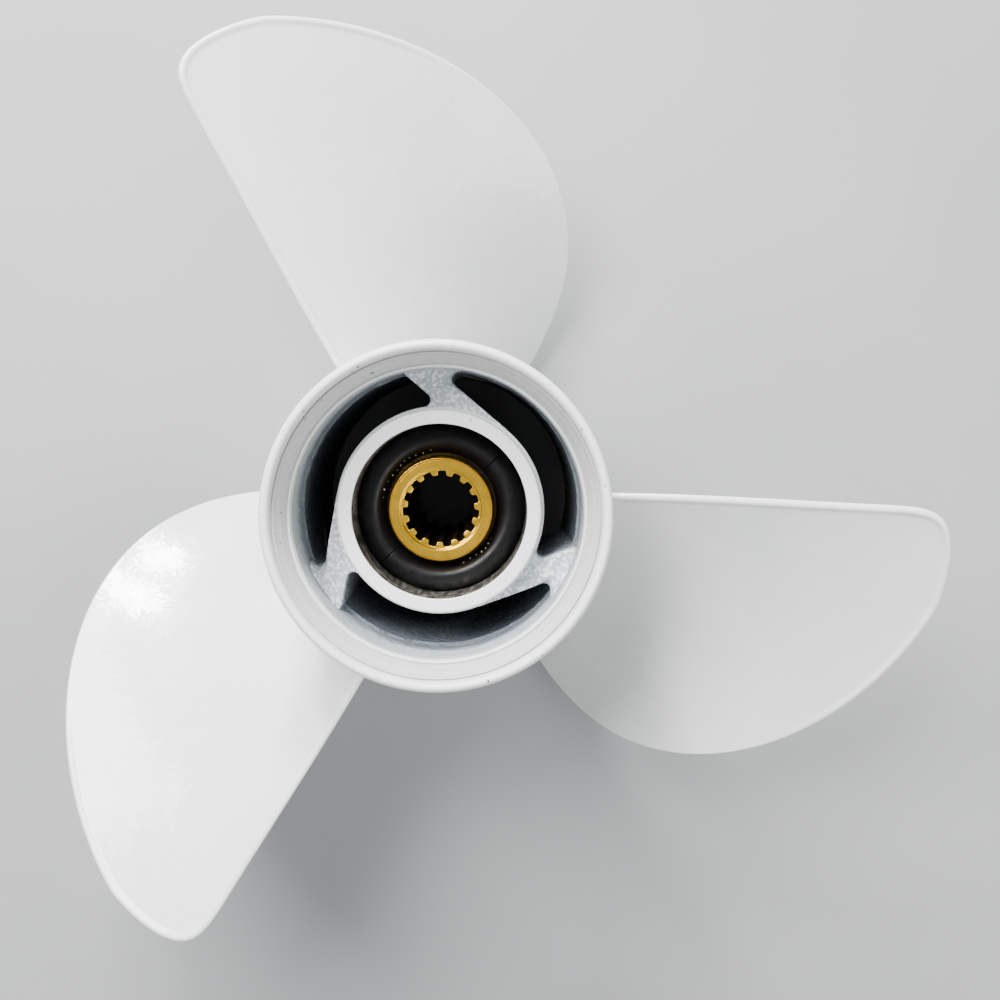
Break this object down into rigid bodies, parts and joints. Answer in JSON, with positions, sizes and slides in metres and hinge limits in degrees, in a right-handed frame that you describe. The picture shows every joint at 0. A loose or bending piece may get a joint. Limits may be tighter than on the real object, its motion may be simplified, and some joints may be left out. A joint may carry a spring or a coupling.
{
  "type": "boat propeller",
  "caption": "Boat propeller: right-hand blades on an exhaust-through barrel, with ribs, an inner hub, a rubber damper bush and a splined brass sleeve.",
  "frame": {"origin": "on the shaft axis, in the plane of the barrel's forward end, which the propeller stands on", "axes": "+Z along the shaft axis, pointing aft; the tip of blade_1 lies about 19 degrees from +Y towards -X; +X to starboard when +Y is up"},
  "size_m": [0.3013, 0.3004, 0.124],
  "materials": {
    "white_paint": "satin",
    "black_rubber": "matte",
    "brass": "satin"
  },
  "bodies": {
    "casting": {"outer_barrel": "white_paint", "diffuser_ring": "white_paint", "inner_hub": "white_paint", "rib_1": "white_paint", "rib_2": "white_paint", "rib_3": "white_paint", "blade_1": "white_paint", "blade_2": "white_paint", "blade_3": "white_paint", "damper_bush": "black_rubber"},
    "sleeve": {"splined_sleeve": "brass"}
  },
  "joints": [
    {"name": "damper_twist", "type": "hinge", "parent": "casting", "child": "sleeve", "pos_m": [0, 0, 0.0495], "axis": [0, 0, 1], "range_deg": [-8, 8], "stiffness_Nm_per_rad": 1500}
  ]
}
